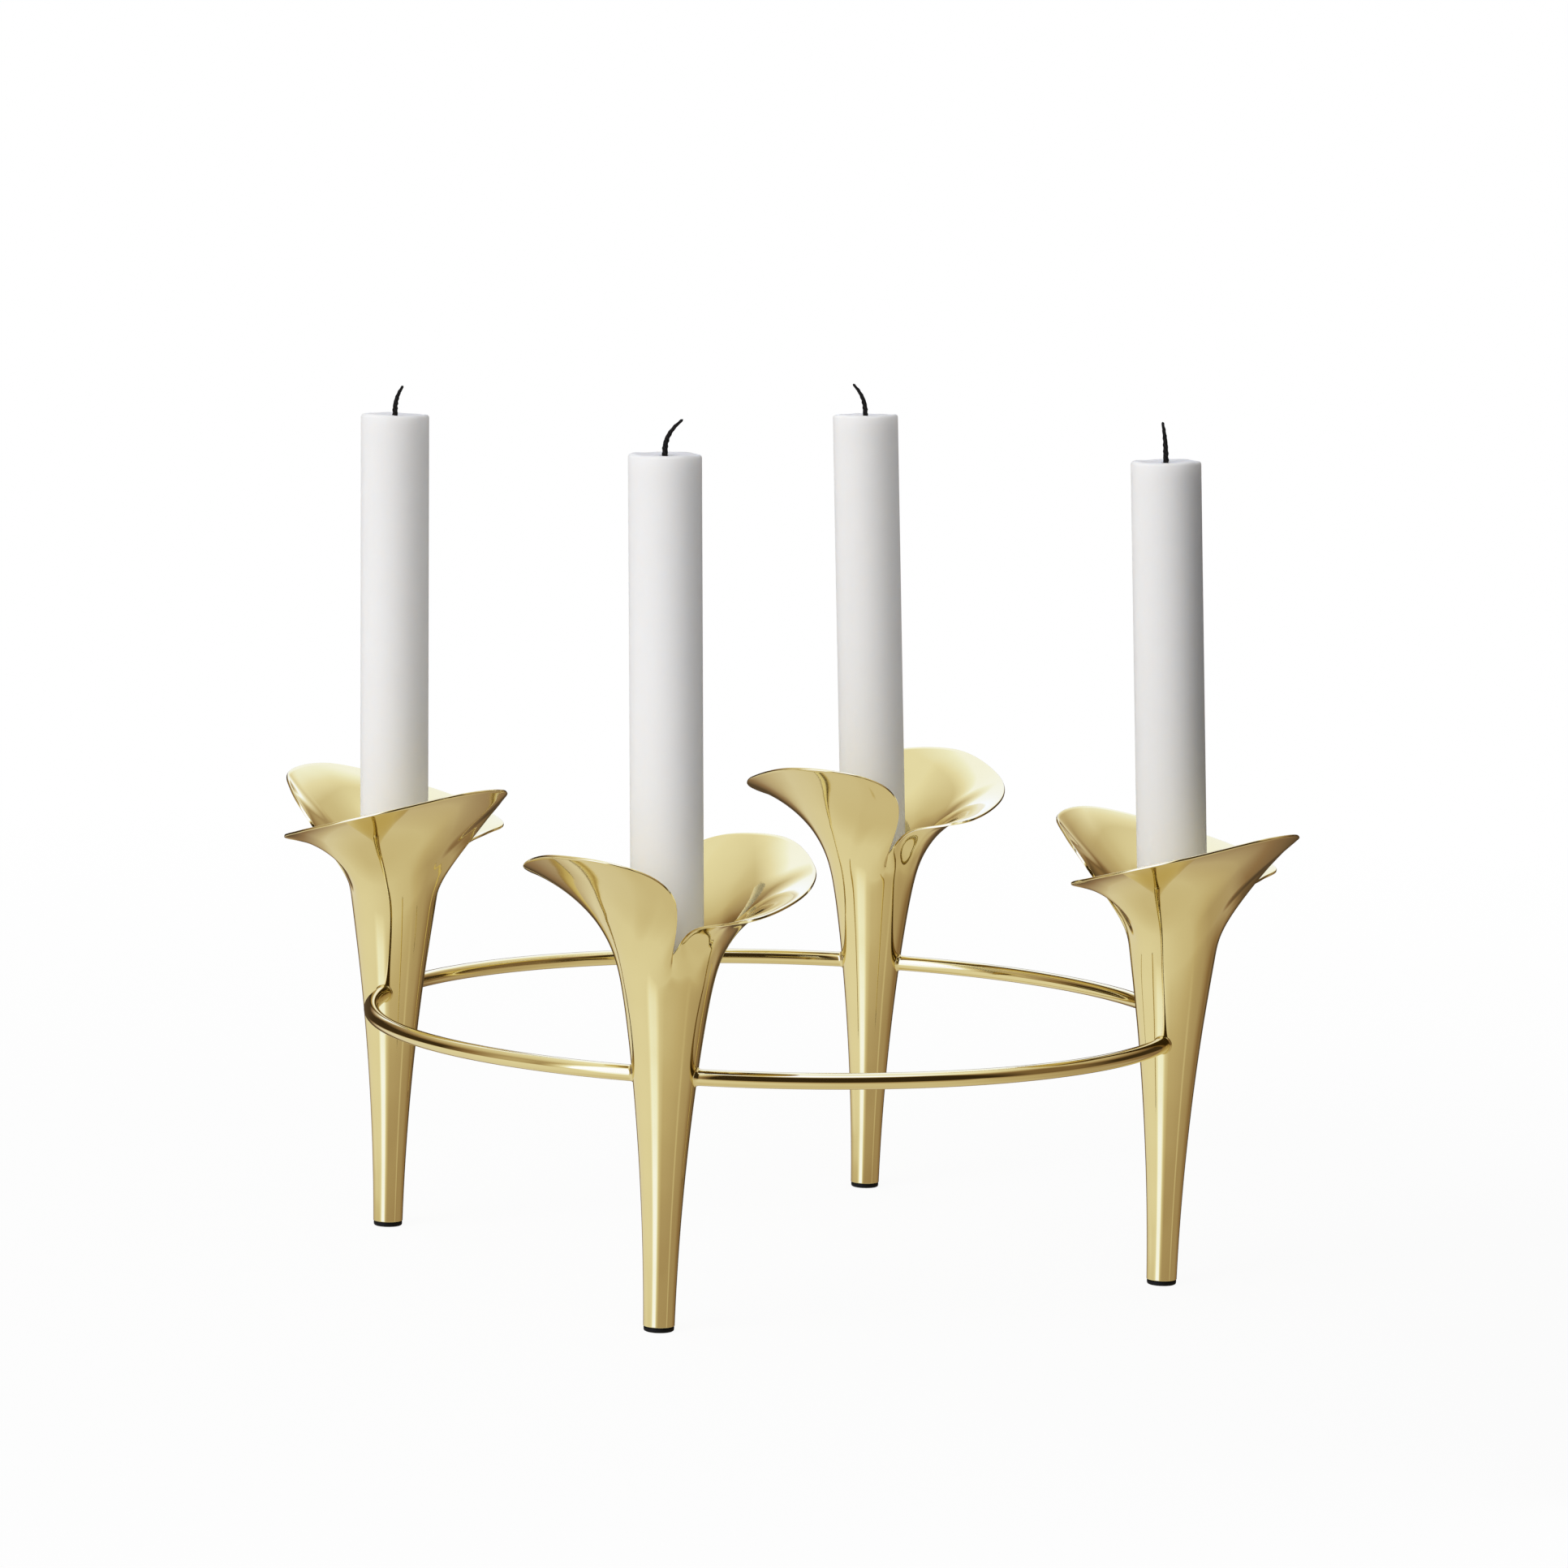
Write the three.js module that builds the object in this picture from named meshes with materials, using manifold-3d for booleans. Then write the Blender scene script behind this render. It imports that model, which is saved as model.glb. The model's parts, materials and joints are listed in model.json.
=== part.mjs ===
// Candle holder for four candles: four metal flower cups on slender round legs, joined by a
// ring of round rod. Millimetres, +Z up. The origin is the ring's centre on the table, and a
// leg stands on each of the four axes.
import * as THREE from "three";
import { mergeVertices } from "three/addons/utils/BufferGeometryUtils.js";
import Module from "manifold-3d";

// Fits
const seatGap = 0.3;
const candleClearance = 0.25;
const wickClearance = 0.3;

// Ring of rod
const ringRadius = 129;
const ringHeight = 78;
const rodDiameter = 5;

// Candle and wick
const candleDiameter = 22;
const candleEdgeRound = 1.2;
const frontCandleLength = 161;
const rightCandleLength = 157;
const backCandleLength = 160.5;
const leftCandleLength = 162;
const wickDiameter = 1.8;
const wickFree = 10;

// Candle cup, a thin turned cup seated in the throat
const cupWall = 0.65;
const cupFloor = 1.2;
const cupDrainDiameter = 4;
const cupRimBelowNotch = 1.3;
const cupFloorBelowThroat = 0.5;

// Leg
const sheet = 0.8;
const footRadius = 4.75;
const legRadiusAtRing = 9.85;
const throatHeight = 104;

// Foot pad
const padThickness = 1.4;
const padInset = 0.1;
const padEdgeRound = 0.7;
const padStemLength = 8;

// Petal edge, from the notch where the petal starts to the notch where it ends. The angle
// runs anticlockwise from the first notch. Reach, outwards from the throat, and rise, upwards
// from it, are shares of the farthest reach and the highest rise. Flare is how steeply the
// sheet climbs where it ends.
const petalReach = 32.3;
const petalRise = 43;
const petalEdge = [
  { angle: 0, reach: 0.096, rise: 0.298, flare: 62 },
  { angle: 14, reach: 0.303, rise: 0.484, flare: 34 },
  { angle: 28, reach: 0.628, rise: 0.553, flare: 8 },
  { angle: 33, reach: 0.876, rise: 0.6, flare: 2 },
  { angle: 46, reach: 0.938, rise: 0.66, flare: 8 },
  { angle: 66, reach: 0.969, rise: 0.756, flare: 18 },
  { angle: 90, reach: 0.969, rise: 0.867, flare: 24 },
  { angle: 124, reach: 1, rise: 1, flare: 30 },
  { angle: 152, reach: 0.892, rise: 0.977, flare: 38 },
  { angle: 168, reach: 0.706, rise: 0.872, flare: 46 },
  { angle: 178, reach: 0.52, rise: 0.709, flare: 54 },
  { angle: 180, reach: 0.096, rise: 0.298, flare: 62 },
];

// The four lights. Bearing is the leg's direction from the ring's centre, turn is the angle
// from the bearing to the flower's first notch, and lean tips the candle towards -X. The wick
// stands up by rise and bends over by bend, as shares of its free length, towards aim.
const lights = [
  { name: "front", bearing: -90, turn: 21, length: frontCandleLength, lean: 1.7, rise: 0.98, bend: 0.54, aim: 15 },
  { name: "right", bearing: 0, turn: 16, length: rightCandleLength, lean: 2.8, rise: 1.18, bend: 0.09, aim: 195 },
  { name: "back", bearing: 90, turn: 31, length: backCandleLength, lean: 2.7, rise: 1, bend: 0.4, aim: 195 },
  { name: "left", bearing: 180, turn: 15, length: leftCandleLength, lean: 1, rise: 0.87, bend: 0.26, aim: 15 },
];

// Facets
const petalColumns = 18;
const columnCrowding = 0.3;
const petalRows = 8;
const legRows = 5;
const roundSides = 24;
const rodSides = 10;
const arcSteps = 16;
const wickSides = 6;
const wickSteps = 8;

// Sizes that follow from the ones above
const rad = THREE.MathUtils.degToRad;
const candleRadius = candleDiameter / 2;
const wickRadius = wickDiameter / 2;
const rodRadius = rodDiameter / 2;
const steepestLean = rad(Math.max(...lights.map((light) => light.lean)));
const notchHeight = throatHeight + petalEdge[0].rise * petalRise;
const cupTop = notchHeight - cupRimBelowNotch;
const cupFloorTop = throatHeight - cupFloorBelowThroat;
const cupDepth = cupTop - cupFloorTop;
const leanSlack = (cupDepth / 2) * Math.tan(steepestLean);
const cupBoreRadius = candleRadius + candleClearance + leanSlack;
const cupRadius = cupBoreRadius + cupWall;
const throatRadius = cupRadius + seatGap + sheet;
const legBottom = padThickness + seatGap;

const finishes = {
  gold: { color: 0xd6c68c, roughness: 0.08, metalness: 1 },
  rubber: { color: 0x141414, roughness: 0.7, metalness: 0 },
  wax: { color: 0xf2f2f0, roughness: 0.5, metalness: 0 },
  char: { color: 0x1b1a19, roughness: 0.9, metalness: 0 },
};

const holder = new THREE.Group();

function addPiece(parent, name, geometry, finish) {
  const mesh = new THREE.Mesh(geometry, new THREE.MeshStandardMaterial(finish));
  mesh.name = name;
  parent.add(mesh);
  return mesh;
}

// Turned pieces: a profile of [radius, height] pairs, spun round Z
function turned(profile, sides = roundSides) {
  const points = profile.map(([radius, height]) => new THREE.Vector2(radius, height));
  return new THREE.LatheGeometry(points, sides).rotateX(Math.PI / 2);
}

// Outside radius of the leg: the parabola through the foot, the ring and the throat
function legShape() {
  const toRing = (legRadiusAtRing - footRadius) / ringHeight;
  const toThroat = (throatRadius - footRadius) / throatHeight;
  const bend = (toThroat - toRing) / (throatHeight - ringHeight);
  const slope = toRing - bend * ringHeight;
  return {
    radius: (z) => footRadius + slope * z + bend * z * z,
    slope: (z) => slope + 2 * bend * z,
  };
}
const leg = legShape();

function polar(radius, angle, z) {
  return new THREE.Vector3(radius * Math.cos(angle), radius * Math.sin(angle), z);
}

// A station of the petal's edge as a point
function edgePoint(station) {
  const radius = throatRadius + station.reach * petalReach;
  return polar(radius, rad(station.angle), throatHeight + station.rise * petalRise);
}

const edgeCurve = new THREE.CatmullRomCurve3(petalEdge.map(edgePoint), false, "centripetal");

// Flare between two stations of the petal's edge, t from 0 to 1 along the stations
function flareAt(t) {
  const place = t * (petalEdge.length - 1);
  const index = Math.min(Math.floor(place), petalEdge.length - 2);
  const share = THREE.MathUtils.smoothstep(place - index, 0, 1);
  return rad(THREE.MathUtils.lerp(petalEdge[index].flare, petalEdge[index + 1].flare, share));
}

// A point of the flower's outer surface. around counts petals, 0 to 2, and up runs from 0 at
// the throat to 1 at the petal's edge. Near a notch the edge moves slowly and the throat
// doesn't, so the sheet stays smooth below the notch.
function petalPoint(around, up) {
  const petal = Math.floor(around);
  const u = around - petal;
  const share = u * u * (3 - 2 * u);
  const edge = edgeCurve.getPointAt(share);
  const throatAngle = Math.PI * u;
  const start = polar(throatRadius, throatAngle, throatHeight);
  const climb = polar(leg.slope(throatHeight), throatAngle, 1).normalize();
  let edgeAngle = Math.atan2(edge.y, edge.x);
  if (edgeAngle < -0.5) edgeAngle += 2 * Math.PI;
  const flare = flareAt(edgeCurve.getUtoTmapping(share));
  const arrive = polar(Math.cos(flare), (edgeAngle + throatAngle) / 2, Math.sin(flare));
  const span = edge.distanceTo(start);
  const curve = new THREE.CubicBezierCurve3(
    start,
    start.clone().addScaledVector(climb, 0.38 * span),
    edge.clone().addScaledVector(arrive, -0.36 * span),
    edge,
  );
  return curve.getPoint(up).applyAxisAngle(new THREE.Vector3(0, 0, 1), Math.PI * petal);
}

// A point of the leg below the throat, and its outward normal
function legPoint(around, z) {
  return polar(leg.radius(z), Math.PI * around, z);
}

function legNormal(around, z) {
  return polar(1, Math.PI * around, -leg.slope(z)).normalize();
}

function petalNormal(around, up) {
  const step = 0.01;
  const place = Math.min(Math.max(up, step), 0.94);
  const turn = (around + 2) % 2;
  const before = petalPoint((turn + 2 - step) % 2, place);
  const after = petalPoint((turn + step) % 2, place);
  const along = after.sub(before);
  const upward = petalPoint(turn, place + step).sub(petalPoint(turn, place - step));
  return along.cross(upward).normalize();
}

// Where a column of facets stands. They crowd towards the middle of a petal, where its edge
// is longest.
function columnPlace(column) {
  const even = column / petalColumns;
  return even + (columnCrowding * Math.sin(2 * Math.PI * even)) / (2 * Math.PI);
}

// Leg, throat and petals as one sheet: an outer skin, an inner skin one sheet thickness in,
// and a strip that closes them at the foot and round the petals' edge
function flowerGeometry() {
  const columns = 2 * petalColumns;
  const positions = [];
  const rings = [];
  const addRing = (place) => {
    const ring = [];
    for (let column = 0; column < columns; column += 1) {
      ring.push(positions.length / 3);
      positions.push(...place(columnPlace(column)).toArray());
    }
    rings.push(ring);
  };
  const heights = [];
  for (let row = 0; row < legRows; row += 1) {
    heights.push(THREE.MathUtils.lerp(legBottom, throatHeight, row / legRows));
  }
  for (const z of heights) addRing((around) => legPoint(around, z));
  for (let row = 0; row <= petalRows; row += 1) {
    addRing((around) => petalPoint(around, row / petalRows));
  }
  for (let row = petalRows; row >= 0; row -= 1) {
    const up = row / petalRows;
    addRing((around) => petalPoint(around, up).addScaledVector(petalNormal(around, up), -sheet));
  }
  for (const z of heights.reverse()) {
    addRing((around) => legPoint(around, z).sub(polar(sheet, Math.PI * around, 0)));
  }
  const faces = [];
  rings.forEach((ring, row) => {
    const next = rings[(row + 1) % rings.length];
    for (let column = 0; column < columns; column += 1) {
      const right = (column + 1) % columns;
      faces.push(ring[column], ring[right], next[right]);
      faces.push(ring[column], next[right], next[column]);
    }
  });
  const geometry = new THREE.BufferGeometry();
  geometry.setAttribute("position", new THREE.Float32BufferAttribute(positions, 3));
  geometry.setIndex(faces);
  geometry.computeVertexNormals();
  return geometry;
}

// Thin turned cup: its lower edge seats on the taper of the throat
function cupGeometry() {
  const floorBottom = cupFloorTop - cupFloor;
  const seatRadius = (z) => leg.radius(z) - sheet - seatGap;
  return turned([
    [cupDrainDiameter / 2, floorBottom],
    [seatRadius(floorBottom), floorBottom],
    [seatRadius(cupFloorTop), cupFloorTop],
    [cupRadius, throatHeight],
    [cupRadius, cupTop],
    [cupBoreRadius, cupTop],
    [cupBoreRadius, cupFloorTop],
    [cupDrainDiameter / 2, cupFloorTop],
    [cupDrainDiameter / 2, floorBottom],
  ]);
}

function padGeometry() {
  const radius = footRadius - padInset;
  const stemRadius = footRadius - sheet - seatGap;
  return turned([
    [0, 0],
    [radius - padEdgeRound, 0],
    [radius - 0.3 * padEdgeRound, 0.3 * padEdgeRound],
    [radius, padEdgeRound],
    [radius, padThickness],
    [stemRadius, padThickness],
    [stemRadius, padThickness + padStemLength],
    [0, padThickness + padStemLength],
  ]);
}

function candleGeometry(length) {
  const bore = wickRadius + wickClearance;
  return turned([
    [bore, 0],
    [candleRadius, 0],
    [candleRadius, length - candleEdgeRound],
    [candleRadius - 0.3 * candleEdgeRound, length - 0.3 * candleEdgeRound],
    [candleRadius - candleEdgeRound, length],
    [bore, length],
    [bore, 0],
  ]);
}

// The wick runs straight up the candle, then bends over in the open. Its first step is the
// whole straight stretch.
class WickPath extends THREE.Curve {
  constructor(light) {
    super();
    this.light = light;
  }
  getUtoTmapping(share) {
    return share;
  }
  getPoint(t) {
    const { length, rise, bend, aim } = this.light;
    const free = (t * wickSteps - 1) / (wickSteps - 1);
    if (free <= 0) return new THREE.Vector3(0, 0, THREE.MathUtils.lerp(0, length, t * wickSteps));
    return polar(bend * wickFree * free * free, rad(aim), length + rise * wickFree * free);
  }
}

function wickGeometry(light) {
  const section = new THREE.Shape();
  for (let side = 0; side < wickSides; side += 1) {
    const corner = polar(wickRadius, (2 * Math.PI * side) / wickSides, 0);
    if (side === 0) section.moveTo(corner.x, corner.y);
    else section.lineTo(corner.x, corner.y);
  }
  const extrudePath = new WickPath(light);
  return new THREE.ExtrudeGeometry(section, { steps: wickSteps, bevelEnabled: false, extrudePath });
}

// A quarter of the ring, on its centreline
class ArcPath extends THREE.Curve {
  constructor(from) {
    super();
    this.from = from;
  }
  getPoint(t) {
    return polar(ringRadius, this.from + (t * Math.PI) / 2, ringHeight);
  }
}

const wasm = await Module();
wasm.setup();

function toSolid(geometry) {
  const bare = geometry.clone();
  bare.deleteAttribute("normal");
  bare.deleteAttribute("uv");
  const merged = mergeVertices(bare, 1e-4);
  const vertProperties = new Float32Array(merged.attributes.position.array);
  const triVerts = new Uint32Array(merged.index.array);
  return new wasm.Manifold(new wasm.Mesh({ numProp: 3, vertProperties, triVerts }));
}

function toGeometry(solid) {
  const mesh = solid.getMesh();
  const geometry = new THREE.BufferGeometry();
  geometry.setAttribute("position", new THREE.Float32BufferAttribute(mesh.vertProperties, 3));
  geometry.setIndex(new THREE.Uint32BufferAttribute(mesh.triVerts, 1));
  geometry.computeVertexNormals();
  return geometry;
}

// The leg's outside plus the seat gap, as a solid that copes the ends of the rod
function legEnvelope(bearing) {
  const below = ringHeight - 3 * rodDiameter;
  const above = ringHeight + 3 * rodDiameter;
  const reach = (z) => (leg.radius(z) + seatGap) / Math.cos(Math.PI / (2 * petalColumns));
  const profile = [
    [0, below],
    [reach(below), below],
    [reach(ringHeight), ringHeight],
    [reach(above), above],
    [0, above],
  ];
  const place = polar(ringRadius, rad(bearing), 0);
  return turned(profile, 2 * petalColumns).translate(place.x, place.y, 0);
}

function arcGeometry(fromBearing) {
  const section = new THREE.Shape();
  for (let side = 0; side < rodSides; side += 1) {
    const corner = polar(rodRadius, (2 * Math.PI * side) / rodSides, 0);
    if (side === 0) section.moveTo(corner.x, corner.y);
    else section.lineTo(corner.x, corner.y);
  }
  const extrudePath = new ArcPath(rad(fromBearing));
  const rod = new THREE.ExtrudeGeometry(section, { steps: arcSteps, bevelEnabled: false, extrudePath });
  const coped = toSolid(rod)
    .subtract(toSolid(legEnvelope(fromBearing)))
    .subtract(toSolid(legEnvelope(fromBearing + 90)));
  return toGeometry(coped);
}

lights.forEach((light, index) => {
  const station = new THREE.Group();
  station.position.copy(polar(ringRadius, rad(light.bearing), 0));
  holder.add(station);

  const flower = addPiece(station, `flower_${light.name}`, flowerGeometry(), finishes.gold);
  flower.rotation.z = rad(light.bearing + light.turn);
  addPiece(station, `candle_cup_${light.name}`, cupGeometry(), finishes.gold);
  addPiece(station, `foot_pad_${light.name}`, padGeometry(), finishes.rubber);

  const lean = rad(light.lean);
  const candleStand = new THREE.Group();
  const lowestCorner = candleRadius * Math.sin(lean);
  candleStand.position.set((cupDepth / 2) * Math.tan(lean), 0, cupFloorTop + seatGap + lowestCorner);
  candleStand.rotation.y = -lean;
  station.add(candleStand);
  addPiece(candleStand, `candle_${light.name}`, candleGeometry(light.length), finishes.wax);
  addPiece(candleStand, `wick_${light.name}`, wickGeometry(light), finishes.char);

  const next = lights[(index + 1) % lights.length];
  addPiece(holder, `ring_arc_${light.name}_${next.name}`, arcGeometry(light.bearing), finishes.gold);
});

export default holder;
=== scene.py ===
"""Candle holder for four candles: polished flower cups on slender legs, joined by a ring of rod.

Sizes are in millimetres, as in the part's source, and every mesh is made in metres. The origin
is the ring's centre on the table, and a leg stands on each of the four axes.
"""
import json
import math

import bmesh
import bpy
import numpy as np
from mathutils import Matrix, Vector

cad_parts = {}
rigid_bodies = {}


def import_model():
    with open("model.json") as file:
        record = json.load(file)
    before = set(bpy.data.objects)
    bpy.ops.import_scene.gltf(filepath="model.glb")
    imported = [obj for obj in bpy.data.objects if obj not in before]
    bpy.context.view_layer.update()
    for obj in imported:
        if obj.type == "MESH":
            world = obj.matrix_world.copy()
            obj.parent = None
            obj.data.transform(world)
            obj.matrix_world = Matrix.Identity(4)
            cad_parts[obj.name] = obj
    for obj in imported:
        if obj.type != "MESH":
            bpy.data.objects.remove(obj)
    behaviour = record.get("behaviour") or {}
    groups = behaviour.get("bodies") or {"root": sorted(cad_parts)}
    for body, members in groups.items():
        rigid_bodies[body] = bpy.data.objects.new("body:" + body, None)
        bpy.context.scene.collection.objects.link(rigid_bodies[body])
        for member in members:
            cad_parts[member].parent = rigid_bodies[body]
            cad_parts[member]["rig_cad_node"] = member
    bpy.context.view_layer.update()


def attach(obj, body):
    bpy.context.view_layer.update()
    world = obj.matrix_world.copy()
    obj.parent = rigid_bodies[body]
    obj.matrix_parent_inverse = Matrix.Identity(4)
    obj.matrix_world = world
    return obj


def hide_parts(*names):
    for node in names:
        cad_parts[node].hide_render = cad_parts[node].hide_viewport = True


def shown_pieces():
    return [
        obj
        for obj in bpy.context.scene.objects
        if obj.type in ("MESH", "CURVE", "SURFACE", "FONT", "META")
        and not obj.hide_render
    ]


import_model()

MM = 0.001

# Light on the wax and the table: soft lamps as turn to the right and rise in degrees, focus
# and level, and a fill that grows from left to right. The last lamp is for the candles' tops.
SOFT_LAMPS = (
    (-49, 25, 20, 6.3),
    (-20, 25, 4, 0.74),
    (-130, 25, 20, 2),
    (0, 85, 2, 0.46),
)
FILL_LEFT = 0
FILL_RIGHT = 0.55

# Black flag at the right of the candles: where it stands from the ring's centre, how far it is
# turned, then its width and height
FLAG_AT = (315, -30, 190)
FLAG_TURN = -5
FLAG_SIZE = (460, 420)

# White table: half its width in metres, how much it is lifted to white beside the object, and
# over which distances in metres the rest of its shade fades away
TABLE_HALF = 6
TABLE_LIFT = 0.93
TABLE_FADE = (0.3, 1.2)

# Camera, found from the four feet, the ring and the whole outline
IMAGE_WIDTH = 1932
SENSOR_WIDTH = 36
FOCAL_PIXELS = 7455
CAMERA_AT = (482.8, -1858.4, 375.7)
CAMERA_AZIMUTH = 14.53
CAMERA_ELEVATION = 6.63
CAMERA_ROLL = -1.5

# Ring of rod
RING_RADIUS = 129
RING_HEIGHT = 78
ROD_RADIUS = 2.5
BRAZE_FILLET = 0.5
BRAZE_REACH = 1.0
COPE_GAP = 0.05

# Leg and throat
SHEET = 0.8
SHEET_EDGE_ROUND = 0.2
SEAT_GAP = 0.3
FOOT_RADIUS = 4.75
LEG_RADIUS_AT_RING = 9.85
THROAT_HEIGHT = 104
FOOT_EDGE_ROW = 0.1

# Foot pad
PAD_THICKNESS = 1.4
PAD_INSET = 0.1
PAD_EDGE_ROUND = 0.7
PAD_TOP_ROUND = 0.15
PAD_STEM = 8

# Candle cup and candle
CANDLE_RADIUS = 11
CANDLE_CLEARANCE = 0.25
CUP_WALL = 0.65
CUP_FLOOR = 1.2
CUP_DRAIN_RADIUS = 2
CUP_BELOW_NOTCH = 1.3
CUP_FLOOR_BELOW_THROAT = 0.5
CUP_CORNER_ROUND = 0.8
CANDLE_FOOT_ROUND = 0.5
CANDLE_SHOULDER_ROUND = 1.3
CANDLE_UNEVEN_DEPTH = 5
CANDLE_UNEVEN_LOW = 0.4
WICK_RADIUS = 0.9
WICK_FREE = 10
WICK_CLEARANCE = 0.3
WICK_SUNK = 3
BURNT_TIP = 0.35

# Petal edge from notch to notch: angle in degrees, reach outwards from the throat and rise
# above it as shares of the farthest reach and the highest rise, and how steeply the sheet
# climbs where it ends. The reach is 0.7 mm less than in the part's source, whose straight
# facets cut the tips' curves short, so that the whole stays inside the part's box.
PETAL_REACH = 31.6
PETAL_RISE = 43
PETAL_EDGE = (
    (0, 0.096, 0.298, 62),
    (14, 0.303, 0.484, 34),
    (28, 0.628, 0.553, 8),
    (33, 0.876, 0.6, 2),
    (46, 0.938, 0.66, 8),
    (66, 0.969, 0.756, 18),
    (90, 0.969, 0.867, 24),
    (124, 1, 1, 30),
    (152, 0.892, 0.977, 38),
    (168, 0.706, 0.872, 46),
    (178, 0.52, 0.709, 54),
    (180, 0.096, 0.298, 62),
)

# How far the sheet keeps its direction as it leaves the throat and as it comes to the petal's
# edge, as shares of the way between the two
THROAT_PULL = 0.38
EDGE_PULL = 0.36

# Name, bearing of the leg, turn of the flower, candle length and lean, then the wick's rise
# and bend as shares of its free length, and the direction that it bends in
LIGHTS = (
    ("front", -90, 21, 161, 1.7, 0.98, 0.54, 15),
    ("right", 0, 16, 157, 2.8, 1.18, 0.09, 195),
    ("back", 90, 31, 160.5, 2.7, 1, 0.4, 195),
    ("left", 180, 15, 162, 1, 0.87, 0.26, 15),
)
STEEPEST_LEAN = math.radians(max(light[4] for light in LIGHTS))
NOTCH_HEIGHT = THROAT_HEIGHT + PETAL_EDGE[0][2] * PETAL_RISE
CUP_TOP = NOTCH_HEIGHT - CUP_BELOW_NOTCH
CUP_FLOOR_TOP = THROAT_HEIGHT - CUP_FLOOR_BELOW_THROAT
CUP_DEPTH = CUP_TOP - CUP_FLOOR_TOP
CUP_BORE = CANDLE_RADIUS + CANDLE_CLEARANCE + CUP_DEPTH / 2 * math.tan(STEEPEST_LEAN)
CUP_RADIUS = CUP_BORE + CUP_WALL
THROAT_RADIUS = CUP_RADIUS + SEAT_GAP + SHEET
LEG_BOTTOM = PAD_THICKNESS + SEAT_GAP


# Materials

def colour(sheet_hex):
    """An sRGB hex colour as linear RGBA."""
    parts = [int(sheet_hex[i:i + 2], 16) / 255 for i in (1, 3, 5)]
    linear = [c / 12.92 if c <= 0.04045 else ((c + 0.055) / 1.055) ** 2.4 for c in parts]
    return (*linear, 1)


def add(tree, kind, inputs=None, **settings):
    """A node with its settings. An input is a value or another node's output."""
    node = tree.nodes.new(kind)
    for name, value in settings.items():
        setattr(node, name, value)
    for name, value in (inputs or {}).items():
        if isinstance(value, bpy.types.NodeSocket):
            tree.links.new(value, node.inputs[name])
        else:
            node.inputs[name].default_value = value
    return node


def ramp(tree, source, stops, easing="LINEAR"):
    """A colour ramp with its stops as (place, hex colour or grey value)."""
    node = add(tree, "ShaderNodeValToRGB", {"Fac": source})
    node.color_ramp.interpolation = easing
    elements = node.color_ramp.elements
    while len(elements) < len(stops):
        elements.new(0.5)
    for element, (place, tone) in zip(elements, stops):
        element.position = place
    for element, (place, tone) in zip(elements, stops):
        element.color = colour(tone) if isinstance(tone, str) else (tone, tone, tone, 1)
    return node.outputs["Color"]


def new_material(name):
    """An empty node material and its shader."""
    material = bpy.data.materials.new(name)
    material.use_nodes = True
    tree = material.node_tree
    tree.nodes.clear()
    shader = add(tree, "ShaderNodeBsdfPrincipled")
    add(tree, "ShaderNodeOutputMaterial", {"Surface": shader.outputs["BSDF"]})
    return material, tree, shader


def polished_brass():
    """Brass, spun, pressed and mirror polished by hand, in a pale gold tone.

    Hand polishing leaves the surface very slightly wavy, so that thin reflections wobble, and
    leaves hairlines round the leg. Those are too fine to see one by one, so they are drawn
    coarser, as small changes of gloss that soften the reflections unevenly.
    """
    material, tree, shader = new_material("polished_brass")
    place = add(tree, "ShaderNodeTexCoord").outputs["Object"]
    waves = add(tree, "ShaderNodeTexNoise", {"Vector": place, "Scale": 1 / (14 * MM), "Detail": 1.0})
    # the hairlines lie round the leg, so their pattern is six times finer up the leg
    squeezed = add(tree, "ShaderNodeVectorMath", {0: place, 1: (1, 1, 6)}, operation="MULTIPLY")
    hairlines = add(tree, "ShaderNodeTexNoise", {"Vector": squeezed.outputs[0], "Detail": 3.0,
                                                 "Scale": 1 / (2.5 * MM)})
    tone = add(tree, "ShaderNodeMix", {"Factor": waves.outputs["Fac"],
                                       "A": colour("#E4D497"), "B": colour("#E9DA9F")},
               data_type="RGBA")
    gloss = add(tree, "ShaderNodeMapRange", {"Value": hairlines.outputs["Fac"],
                                             "To Min": 0.035, "To Max": 0.075})
    bump = add(tree, "ShaderNodeBump", {"Height": waves.outputs["Fac"], "Strength": 0.35,
                                        "Distance": 0.12 * MM})
    shader.inputs["Metallic"].default_value = 1
    tree.links.new(tone.outputs["Result"], shader.inputs["Base Color"])
    tree.links.new(gloss.outputs["Result"], shader.inputs["Roughness"])
    tree.links.new(bump.outputs["Normal"], shader.inputs["Normal"])
    return material


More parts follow.
